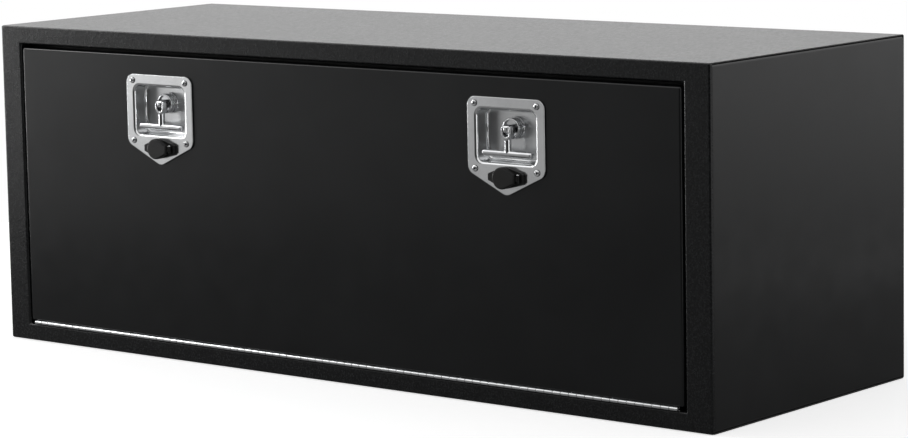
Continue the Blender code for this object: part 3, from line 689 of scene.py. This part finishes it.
def door():
    """The door: a pan with a hemmed flange, cut out for the two dishes and the two lock barrels."""
    piece = start_box("door_pan", DOOR_LOW, DOOR_HIGH)
    with editing(piece):
        pick(piece, "FACE", faces_way((0, 1, 0)))
        bpy.ops.mesh.inset(thickness=HEM)
        bpy.ops.mesh.delete(type="FACE")
    fold_from_skin(piece)
    lock_low, lock_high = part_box("left_lock_cylinder")
    lock_radius = (lock_high.x - lock_low.x) / 2
    for shift in (Vector((0, 0, 0)), RIGHT_LATCH):
        cutter = outline_piece("dish_cutter", mouth_outline(MOUTH_FILLET), -OVERRUN, OVERRUN)
        cutter.data.transform(Matrix.Translation(shift))
        combine(piece, cutter, "DIFFERENCE")
        cutter = start_rod("lock_cutter", at_lock(0, -OVERRUN, 0) + shift, at_lock(0, OVERRUN, 0) + shift,
                           lock_radius)
        combine(piece, cutter, "DIFFERENCE")
    finish_piece(piece, SMOOTH, "door", "door_panel")


def hinge_leaf(name, node, body, way, first_knuckle):
    """One leaf of the piano hinge: a long strip and its half of the rolled knuckles."""
    low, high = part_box(node)
    centre_z = low.z + KNUCKLE_RADIUS if way < 0 else high.z - KNUCKLE_RADIUS
    length = KNUCKLE_PAIR / 2 - KNUCKLE_GAP
    start = low.x + KNUCKLE_GAP / 2 + (0 if first_knuckle else KNUCKLE_PAIR / 2)
    knuckle = start_rod(name, (start, FRONT, centre_z), (start + length, FRONT, centre_z),
                        KNUCKLE_RADIUS, 24)
    soften(knuckle, KNUCKLE_GAP / 2, 2)
    count = round((high.x - low.x) / KNUCKLE_PAIR)
    apply_modifier(knuckle, "ARRAY", count=count, use_relative_offset=False, use_constant_offset=True,
                   constant_offset_displace=(KNUCKLE_PAIR, 0, 0))
    edge = sorted((centre_z + way * KNUCKLE_RADIUS, centre_z + way * (KNUCKLE_RADIUS - LEAF)))
    strip = start_box("leaf_strip", (low.x, FRONT + KNUCKLE_RADIUS, edge[0]), (high.x, high.y, edge[1]))
    activate(strip)
    knuckle.select_set(True)
    bpy.context.view_layer.objects.active = knuckle
    bpy.ops.object.join()
    finish_piece(knuckle, SATIN, body, node)


def hinge():
    hinge_leaf("frame_leaf_rolled", "hinge_frame_leaf", "body", -1, True)
    hinge_leaf("door_leaf_rolled", "hinge_door_leaf", "door", 1, False)


def latch_plate():
    """The pressed plate: one sheet whose mouth rolls in to a flat-bottomed dish."""
    bm = bmesh.new()
    rings = []
    for outline in (plate_outline(), mouth_outline(MOUTH_FILLET)):
        verts = [bm.verts.new(at_latch(across, 0, up)) for across, up in outline]
        rings.append([bm.edges.new((verts[at - 1], verts[at])) for at in range(len(verts))])
    bmesh.ops.triangle_fill(bm, use_beauty=True, edges=rings[0] + rings[1])
    section = []
    for step in range(1, CORNER_STEPS + 1):
        turn = pi / 2 * step / CORNER_STEPS
        section.append((MOUTH_FILLET * (1 - sin(turn)), MOUTH_FILLET * (1 - cos(turn))))
    for step in range(CORNER_STEPS + 1):
        turn = pi / 2 * step / CORNER_STEPS
        section.append((DISH_FILLET * (cos(turn) - 1), DISH_DEPTH - DISH_FILLET * (1 - sin(turn))))
    ring = rings[1]
    here = mouth_outline(MOUTH_FILLET)
    for offset, depth in section:
        target = mouth_outline(offset)
        result = bmesh.ops.extrude_edge_only(bm, edges=ring)
        ring = [part for part in result["geom"] if isinstance(part, bmesh.types.BMEdge)]
        for vert in {vert for edge in ring for vert in edge.verts}:
            place = Vector((vert.co.x - LATCH_X, vert.co.z - LATCH_Z))
            nearest = min(range(len(here)), key=lambda at: (Vector(here[at]) - place).length)
            vert.co = at_latch(target[nearest][0], depth, target[nearest][1])
        here = target
    bmesh.ops.edgeloop_fill(bm, edges=ring)
    bmesh.ops.recalc_face_normals(bm, faces=bm.faces)
    rim = min(bm.faces, key=lambda face: face.calc_center_median().z)
    if rim.normal.y > 0:
        bmesh.ops.reverse_faces(bm, faces=bm.faces)
    mesh = bpy.data.meshes.new("left_pressed_plate")
    bm.to_mesh(mesh)
    bm.free()
    piece = bpy.data.objects.new("left_pressed_plate", mesh)
    bpy.context.scene.collection.objects.link(piece)
    apply_modifier(piece, "SOLIDIFY", thickness=LATCH_SHEET, offset=-1, use_even_offset=True)
    with editing(piece):
        pick(piece, "FACE", lambda face: abs(face.normal.y) > ALONG)
        bpy.ops.mesh.dissolve_limited(angle_limit=FLAT_ANGLE)
    soften(piece, PLATE_EDGE, 3, EDGE_ANGLE)
    copies_for_both(piece, SATIN, "door", "latch_plate")


def screws():
    """Domed screws with a cross recess and a pit at its middle, each turned a little differently."""
    for number in range(1, 5):
        low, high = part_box(f"left_latch_screw_{number}")
        across = (low.x + high.x) / 2
        up = (low.z + high.z) / 2
        back = low.y + SCREW_RISE
        deselect()
        bpy.ops.mesh.primitive_uv_sphere_add(segments=32, ring_count=24, radius=1,
                                             location=(across, back, up), rotation=(pi / 2, 0, 0),
                                             scale=(SCREW_HEAD, SCREW_HEAD, SCREW_RISE))
        bpy.ops.object.transform_apply(location=True, rotation=True, scale=True)
        head = bpy.context.object
        head.name = f"left_pan_screw_{number}"
        with editing(head):
            bpy.ops.mesh.select_all(action="SELECT")
            bpy.ops.mesh.bisect(plane_co=(0, back, 0), plane_no=(0, 1, 0), use_fill=True, clear_outer=True)
        shank = start_rod("shank", (across, back - SCREW_RISE / 2, up), (across, high.y, up),
                          SCREW_HEAD / 2, 24)
        combine(head, shank, "UNION")
        for turn in (0, pi / 2):
            slot = start_box("recess", (-RECESS_HALF, low.y - OVERRUN, -RECESS_ARM),
                             (RECESS_HALF, low.y + RECESS_DEPTH, RECESS_ARM))
            slot.data.transform(Matrix.Rotation(turn + number, 4, "Y"))
            slot.data.transform(Matrix.Translation((across, 0, up)))
            combine(head, slot, "DIFFERENCE")
        deselect()
        pit_middle = low.y - CUT_EDGE + RECESS_PIT_DEPTH / 2
        bpy.ops.mesh.primitive_cone_add(vertices=24, radius1=RECESS_PIT, radius2=CUT_EDGE / 2,
                                        depth=RECESS_PIT_DEPTH, location=(across, pit_middle, up),
                                        rotation=(-pi / 2, 0, 0))
        bpy.ops.object.transform_apply(location=True, rotation=True, scale=True)
        combine(head, bpy.context.object, "DIFFERENCE")
        copies_for_both(head, SCREW_FINISH, "door", f"latch_screw_{number}")


def bush():
    """The turned bush on the dish's back wall, that carries the spindle."""
    radius = (BUSH_HIGH.x - BUSH_LOW.x) / 2
    piece = start_rod("left_turned_bush", at_latch(0, BUSH_LOW.y - LATCH_Y, 0), at_latch(0, DISH_DEPTH, 0),
                      radius, 64)
    neck = start_rod("neck", at_latch(0, DISH_DEPTH - CUT_EDGE, 0), (LATCH_X, BUSH_HIGH.y, LATCH_Z),
                     BUSH_NECK, 64)
    combine(piece, neck, "UNION")
    soften(piece, PLATE_EDGE, 3, EDGE_ANGLE)
    copies_for_both(piece, POLISHED, "door", "spindle_bush")


def turned_hub(radius, back):
    """The spindle's hub: a hollow front, and two grooves that are left between three lands on a neck."""
    ends = [HUB_FRONT] + [depth + way * GROOVE for depth in HUB_GROOVES for way in (-1, 1)] + [back]
    hub = start_rod("left_turned_spindle", at_latch(0, HUB_FRONT, 0), at_latch(0, ends[1], 0), radius, 64)
    with editing(hub):
        pick(hub, "FACE", faces_way((0, -1, 0)))
        bpy.ops.mesh.bevel(offset=HUB_EDGE, segments=4, affect="EDGES")
    hollow = start_rod("hollow", at_latch(0, HUB_FRONT - CUT_EDGE, 0),
                       at_latch(0, HUB_FRONT + HUB_HOLLOW, 0), radius - HUB_RIM, 64)
    combine(hub, hollow, "DIFFERENCE")
    neck = start_rod("neck", at_latch(0, ends[1] - CUT_EDGE / 2, 0), at_latch(0, back - CUT_EDGE, 0),
                     radius - GROOVE, 64)
    combine(hub, neck, "UNION")
    for land_front, land_back in (ends[2:4], ends[4:6]):
        land = start_rod("land", at_latch(0, land_front, 0), at_latch(0, land_back, 0), radius, 64)
        combine(hub, land, "UNION")
    soften(hub, LAND_EDGE, 2, EDGE_ANGLE)
    return hub


def milled_tongue():
    """The tongue that the handle's yoke straddles: rounded about the cross pin, and at its front corners."""
    front = PIVOT_DEPTH - TONGUE_RADIUS
    tongue = start_box("tongue", at_latch(-TONGUE_HALF, front, -TONGUE_RADIUS),
                       at_latch(TONGUE_HALF, HUB_FRONT + HUB_HOLLOW + HUB_EDGE, TONGUE_RADIUS))
    with editing(tongue):
        pick(tongue, "EDGE", lambda edge: along(edge, "x") and middle(edge).y < LATCH_Y + front + CUT_EDGE)
        bpy.ops.mesh.bevel(offset=TONGUE_RADIUS * NEARLY_ROUND, segments=10, affect="EDGES")
    blank = start_box("blank", at_latch(-TONGUE_HALF, front, -2 * TONGUE_RADIUS),
                      at_latch(TONGUE_HALF, DISH_DEPTH, 2 * TONGUE_RADIUS))
    with editing(blank):
        pick(blank, "EDGE", lambda edge: along(edge, "z") and middle(edge).y < LATCH_Y + front + CUT_EDGE)
        bpy.ops.mesh.bevel(offset=TONGUE_ROUND, segments=8, affect="EDGES")
    combine(tongue, blank, "INTERSECT")
    soften(tongue, CUT_EDGE, 2, EDGE_ANGLE)
    return tongue


def spindle():
    """The spindle: its hub with the tongue, and the shaft that carries the cam."""
    low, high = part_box("left_spindle")
    hub_back = BUSH_LOW.y - LATCH_Y
    piece = turned_hub((high.x - low.x) / 2, hub_back)
    combine(piece, milled_tongue(), "UNION")
    shaft = start_rod("shaft", at_latch(0, hub_back - CUT_EDGE, 0), (LATCH_X, high.y, LATCH_Z),
                      SHAFT_END, 32)
    combine(piece, shaft, "UNION")
    copies_for_both(piece, POLISHED, "spindle_set", "spindle")


def pivot_pin():
    low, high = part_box("left_pivot_pin")
    depth = (low.y + high.y) / 2
    pin = start_rod("left_rivet_pin", (low.x, depth, LATCH_Z), (high.x, depth, LATCH_Z),
                    (high.y - low.y) / 2, 32)
    soften(pin, CUT_EDGE / 2, 2, EDGE_ANGLE)
    copies_for_both(pin, POLISHED, "spindle_set", "pivot_pin")


def t_handle():
    """The folding handle, cast in one: a yoke round the tongue, a round stem and a cross bar."""
    low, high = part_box("left_t_handle")
    axis = LATCH_Y + PIVOT_DEPTH
    yoke = start_box("left_cast_t_handle", (LATCH_X - YOKE_HALF, axis - ROD, LATCH_Z - YOKE_LENGTH),
                     (LATCH_X + YOKE_HALF, axis + ROD, LATCH_Z + ROD))
    with editing(yoke):
        pick(yoke, "EDGE", lambda edge: along(edge, "x") and middle(edge).z > LATCH_Z)
        bpy.ops.mesh.bevel(offset=ROD * NEARLY_ROUND, segments=10, affect="EDGES")
        pick(yoke, "EDGE", lambda edge: along(edge, "y") and middle(edge).z < LATCH_Z - YOKE_LENGTH / 2)
        bpy.ops.mesh.bevel(offset=YOKE_ROUND, segments=8, affect="EDGES")
    ears = start_box("ears", (LATCH_X - YOKE_HALF, axis - OVERRUN, LATCH_Z - 2 * YOKE_LENGTH),
                     (LATCH_X + YOKE_HALF, axis + OVERRUN, LATCH_Z + ROD))
    with editing(ears):
        pick(ears, "EDGE", lambda edge: along(edge, "y") and middle(edge).z > LATCH_Z)
        bpy.ops.mesh.bevel(offset=EAR_ROUND, segments=8, affect="EDGES")
    combine(yoke, ears, "INTERSECT")
    stem = start_rod("stem", (LATCH_X, axis, LATCH_Z - YOKE_LENGTH + ROD),
                     (LATCH_X, axis, LATCH_Z - BAR_DROP), ROD * STEM_SHARE)
    bar = start_rod("bar", (low.x, axis, LATCH_Z - BAR_DROP), (high.x, axis, LATCH_Z - BAR_DROP), ROD)
    soften(bar, ROD * BAR_END_SHARE, 5, EDGE_ANGLE)
    combine(yoke, stem, "UNION")
    combine(yoke, bar, "UNION")
    slot = start_box("slot", (LATCH_X - SLOT_HALF, axis - OVERRUN, LATCH_Z - YOKE_THROAT),
                     (LATCH_X + SLOT_HALF, axis + OVERRUN, LATCH_Z + OVERRUN))
    with editing(slot):
        pick(slot, "EDGE", lambda edge: along(edge, "y") and middle(edge).z < LATCH_Z)
        bpy.ops.mesh.bevel(offset=THROAT_ROUND, segments=5, affect="EDGES")
    combine(yoke, slot, "DIFFERENCE")
    apply_modifier(yoke, "REMESH", mode="VOXEL", voxel_size=CASTING_VOXEL, adaptivity=0)
    apply_modifier(yoke, "SMOOTH", factor=0.5, iterations=CASTING_SMOOTHING)
    copies_for_both(yoke, POLISHED, "handle", "t_handle", flat_shading=True)


def teardrop(inset):
    """A round head drawn out straight to a narrower flat end."""
    radius = CAP_RADIUS - inset
    end = CAP_END - inset
    end_half = CAP_END_HALF - inset
    angle = atan2(end_half, end) + acos(radius / sqrt(end * end + end_half * end_half))
    steps = 6 * CORNER_STEPS
    sweep = tau - 2 * angle
    head = [angle + sweep * step / steps for step in range(steps + 1)]
    round_head = [(radius * cos(turn), radius * sin(turn)) for turn in head]
    return [(end, end_half)] + round_head + [(end, -end_half)]


def cover_base():
    """The base of the lock's weather cover: a faceted plate round the lock, with two ears for the pin."""
    low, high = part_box("left_lock_cover_base")
    lower_half = ((low.x - LATCH_X, -BASE_TAB_HALF), (0, -BASE_HALF), (BASE_SHOULDER, -BASE_SHOULDER_HALF),
                  (high.x - LATCH_X, -BASE_END_HALF))
    upper_half = tuple((across, -up) for across, up in reversed(lower_half))
    half_radii = (BASE_CORNER, BASE_SIDE_CORNER, BASE_CORNER, BASE_CORNER)
    outline = rounded(lower_half + upper_half, half_radii + half_radii[::-1], 2)
    hole = [(BASE_HOLE * cos(tau * at / 48), BASE_HOLE * sin(tau * at / 48)) for at in range(48)]
    base = outline_piece("left_cover_base", outline, -BASE_RISE, -BASE_GAP, (0, -LOCK_DROP), (hole,))
    soften(base, BASE_EDGE, 2, EDGE_ANGLE)
    for way in (-1, 1):
        bottom, top = sorted((way * EAR_IN, way * EAR_OUT))
        ear = start_box("ear", at_cover_pin(-LUG_RADIUS, -LUG_RADIUS, bottom),
                        (PIN_CENTRE.x + LUG_RADIUS, LATCH_Y - BASE_RISE / 2, PIN_CENTRE.z + top))
        with editing(ear):
            pick(ear, "EDGE", lambda edge: along(edge, "z") and middle(edge).y < PIN_CENTRE.y)
            bpy.ops.mesh.bevel(offset=EAR_BEND, segments=6, affect="EDGES")
        combine(base, ear, "UNION")
    copies_for_both(base, NYLON, "door", "lock_cover_base")


def cover_cap():
    """The cover's hollow cap, with its lug between the base's ears."""
    low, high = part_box("left_lock_cap")
    front = low.y - LATCH_Y
    back = high.y - LATCH_Y
    cap = outline_piece("left_flip_cap", teardrop(0), front, back, (0, -LOCK_DROP))
    with editing(cap):
        pick(cap, "FACE", faces_way((0, -1, 0)))
        bpy.ops.mesh.bevel(offset=CAP_EDGE, segments=8, affect="EDGES", profile=CAP_BULGE)
    pocket = outline_piece("pocket", teardrop(CAP_WALL), front + CAP_WALL, back + OVERRUN, (0, -LOCK_DROP))
    combine(cap, pocket, "DIFFERENCE")
    lug = start_rod("lug", at_cover_pin(0, 0, -LUG_HALF), at_cover_pin(0, 0, LUG_HALF), LUG_RADIUS, 32)
    arm_start = LATCH_X + CAP_END - CAP_WALL / 2
    arm = start_box("arm", (arm_start, PIN_CENTRE.y - LUG_RADIUS, PIN_CENTRE.z - LUG_HALF),
                    at_cover_pin(0, 0, LUG_HALF))
    combine(lug, arm, "UNION")
    combine(cap, lug, "UNION")
    copies_for_both(cap, NYLON, "cap", "lock_cap")


def cover_pin():
    """The pin through the ears and the lug, with a domed head."""
    pin = start_rod("left_cover_pin", (PIN_CENTRE.x, PIN_CENTRE.y, PIN_LOW.z),
                    (PIN_CENTRE.x, PIN_CENTRE.y, PIN_HIGH.z), (PIN_HIGH.x - PIN_LOW.x) / 2, 24)
    head = start_rod("pin_head", (PIN_CENTRE.x, PIN_CENTRE.y, PIN_HIGH.z - CUT_EDGE),
                     (PIN_CENTRE.x, PIN_CENTRE.y, PIN_HIGH.z + PIN_HEAD_RISE), PIN_HEAD, 24)
    with editing(head):
        pick(head, "FACE", faces_way((0, 0, 1)))
        bpy.ops.mesh.bevel(offset=PIN_HEAD_RISE * PIN_DOME_SHARE, segments=6, affect="EDGES")
    combine(pin, head, "UNION")
    soften(pin, CUT_EDGE / 3, 2, EDGE_ANGLE)
    copies_for_both(pin, POLISHED, "door", "lock_cap_pin")


def lock_cylinder():
    """The lock's turned cylinder, seen when the cap is flipped aside."""
    low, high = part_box("left_lock_cylinder")
    front = low.y - LATCH_Y
    back = high.y - LATCH_Y
    cylinder = start_rod("left_turned_lock", at_lock(0, front, 0), at_lock(0, front + LOCK_HEAD, 0),
                         (high.x - low.x) / 2, 96)
    barrel = start_rod("barrel", at_lock(0, front + LOCK_HEAD / 2, 0), at_lock(0, back, 0), LOCK_BARREL, 64)
    combine(cylinder, barrel, "UNION")
    bore = start_rod("bore", at_lock(0, front - CUT_EDGE, 0), at_lock(0, back + CUT_EDGE, 0), LOCK_BORE, 64)
    combine(cylinder, bore, "DIFFERENCE")
    soften(cylinder, CUT_EDGE, 3, EDGE_ANGLE)
    copies_for_both(cylinder, POLISHED, "door", "lock_cylinder")


def key_plug():
    """The plug that the key turns: its keyway in front, and a square tenon for the lock tail behind."""
    low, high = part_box("left_key_plug")
    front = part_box("left_lock_cylinder")[0].y - LATCH_Y
    plug = start_rod("left_turned_plug", at_lock(0, front, 0), at_lock(0, LOCK_LENGTH, 0),
                     (high.x - low.x) / 2, 64)
    tenon = start_box("tenon", at_lock(-TENON_HALF, LOCK_LENGTH - CUT_EDGE, -TENON_HALF),
                      at_lock(TENON_HALF, high.y - LATCH_Y, TENON_HALF))
    combine(plug, tenon, "UNION")
    wide, tall = KEYWAY_HALF
    keyway = start_box("keyway", at_lock(-wide, front - CUT_EDGE, -tall),
                       at_lock(wide, front + KEYWAY_DEPTH, tall))
    combine(plug, keyway, "DIFFERENCE")
    soften(plug, CUT_EDGE / 2, 2, EDGE_ANGLE)
    copies_for_both(plug, POLISHED, "key_set", "key_plug")


def refine(node, material, body):
    """A finer copy of a small hidden CAD piece: merged, with eased edges and smooth round sides."""
    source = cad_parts[node]
    piece = source.copy()
    piece.data = source.data.copy()
    piece.name = node + "_finished"
    piece.parent = None
    for key in list(piece.keys()):
        del piece[key]
    bpy.context.scene.collection.objects.link(piece)
    with editing(piece):
        bpy.ops.mesh.select_all(action="SELECT")
        bpy.ops.mesh.remove_doubles(threshold=MERGE)
        bpy.ops.mesh.dissolve_limited(angle_limit=FLAT_ANGLE)
    soften(piece, CUT_EDGE, 2, REFINE_ANGLE)
    finish_piece(piece, material, body, node)


def give_finish(node, material):
    """Keeps a plain CAD piece as it is, with the finish."""
    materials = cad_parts[node].data.materials
    materials.clear()
    materials.append(material)


def hidden_pieces():
    refine("door_seal", RUBBER, "body")
    for side in ("left_", "right_"):
        for node in ("cam", "cam_washer", "cam_nut"):
            refine(side + node, ZINC, side + "spindle_set")
        refine(side + "lock_tail", ZINC, side + "key_set")
    for side in ("left_", "right_"):
        give_finish(side + "latch_gasket", RUBBER)
    give_finish("hinge_pin", SATIN)


def mix_shaders(tree, factor, first, second):
    return add_node(tree, "ShaderNodeMixShader", {0: factor, 1: first, 2: second}).outputs[0]


def either(tree, first, second):
    return add_node(tree, "ShaderNodeMath", {0: first, 1: second}, operation="MAXIMUM").outputs[0]


def white_surround():
    """White to the eye. Mirrors see it behind the object, darker below the horizon, and in front a dark room
    between pale ceiling, left and right walls and a dim floor."""
    world = bpy.data.worlds.new("white_surround")
    bpy.context.scene.world = world
    world.use_nodes = True
    tree = world.node_tree
    tree.nodes.clear()
    path = add_node(tree, "ShaderNodeLightPath").outputs
    way = add_node(tree, "ShaderNodeTexCoord").outputs["Generated"]
    parts = add_node(tree, "ShaderNodeSeparateXYZ", {"Vector": way}).outputs
    room = MIRRORED_FRONT
    for axis, start, full, level in MIRRORED_SIDES.values():
        room = add_up(tree, room, step_between(tree, parts[axis], start, full, level))
    behind = step_between(tree, parts["Y"], *BEHIND_GRADE)
    back = step_between(tree, parts["Z"], *BACK_GRADE, MIRRORED_BACK)
    mirrored = add_node(tree, "ShaderNodeMix", {"Factor": behind, "A": room, "B": back}).outputs["Result"]
    shades = [add_node(tree, "ShaderNodeBackground", {"Color": (1, 1, 1, 1), "Strength": level}).outputs[0]
              for level in (EVEN_LIGHT, mirrored, 1.0)]
    lit = mix_shaders(tree, path["Is Glossy Ray"], shades[0], shades[1])
    seen = either(tree, path["Is Camera Ray"], path["Is Transmission Ray"])
    chosen = mix_shaders(tree, seen, lit, shades[2])
    add_node(tree, "ShaderNodeOutputWorld", {"Surface": chosen})


def pale_floor():
    """A pale disc: it takes the object's soft shadow, and glows to the eye up to the white around it."""
    deselect()
    bpy.ops.mesh.primitive_circle_add(vertices=96, radius=FLOOR_RADIUS, fill_type="NGON",
                                      location=(0, 0, CAD_LOW.z - FLOOR_GAP))
    bpy.ops.object.transform_apply(location=True, rotation=True, scale=True)
    floor = bpy.context.object
    floor.name = "pale_floor"
    material = bpy.data.materials.new("pale_studio_floor")
    material.use_nodes = True
    tree = material.node_tree
    tree.nodes.clear()
    path = add_node(tree, "ShaderNodeLightPath").outputs
    paint, mirrored = [add_node(tree, "ShaderNodeBsdfDiffuse", {"Color": linear(tone)}).outputs[0]
                       for tone in ("E8E8E8", "868686")]
    place = add_node(tree, "ShaderNodeTexCoord").outputs["Object"]
    reach = add_node(tree, "ShaderNodeVectorMath", {0: place}, operation="LENGTH").outputs["Value"]
    near = step_between(tree, reach, FLOOR_RADIUS, MIRRORED_FLOOR_NEAR, MIRRORED_FLOOR)
    shine = add_node(tree, "ShaderNodeEmission", {"Color": (1, 1, 1, 1), "Strength": near}).outputs[0]
    mirrored = add_node(tree, "ShaderNodeAddShader", {0: mirrored, 1: shine}).outputs[0]
    painted = mix_shaders(tree, path["Is Glossy Ray"], paint, mirrored)
    glow = add_node(tree, "ShaderNodeEmission", {"Color": (1, 1, 1, 1), "Strength": FLOOR_GLOW}).outputs[0]
    both = add_node(tree, "ShaderNodeAddShader", {0: painted, 1: glow}).outputs[0]
    seen = either(tree, path["Is Camera Ray"], path["Is Transmission Ray"])
    chosen = mix_shaders(tree, seen, painted, both)
    add_node(tree, "ShaderNodeOutputMaterial", {"Surface": chosen})
    floor.data.materials.append(material)


def soft_lamps():
    for name, place, size, power in LAMPS:
        deselect()
        place = Vector(place)
        aim = (LAMP_TARGET - place).to_track_quat("-Z", "Y").to_euler()
        bpy.ops.object.light_add(type="AREA", location=place, rotation=aim)
        lamp = bpy.context.object
        lamp.name = name
        lamp.visible_camera = False
        lamp.data.shape = "RECTANGLE"
        lamp.data.size = size[0]
        lamp.data.size_y = size[1]
        lamp.data.energy = power


def camera():
    """The photograph's view: from the front right and a little above, through a long lens."""
    deselect()
    bpy.ops.object.camera_add(location=CAMERA_PLACE, rotation=CAMERA_TURN)
    item = bpy.context.object
    item.name = "photo_camera"
    item.data.sensor_width = 36
    item.data.lens = CAMERA_LENS
    item.data.shift_x = CAMERA_SHIFT[0]
    item.data.shift_y = CAMERA_SHIFT[1]
    bpy.context.scene.camera = item


def plain_view():
    settings = bpy.context.scene.view_settings
    settings.view_transform = "Standard"


clear_selection()
body_sheets()
front_frame()
door()
hinge()
latch_plate()
screws()
bush()
spindle()
pivot_pin()
t_handle()
cover_base()
cover_cap()
cover_pin()
lock_cylinder()
key_plug()
hidden_pieces()
white_surround()
pale_floor()
soft_lamps()
camera()
plain_view()
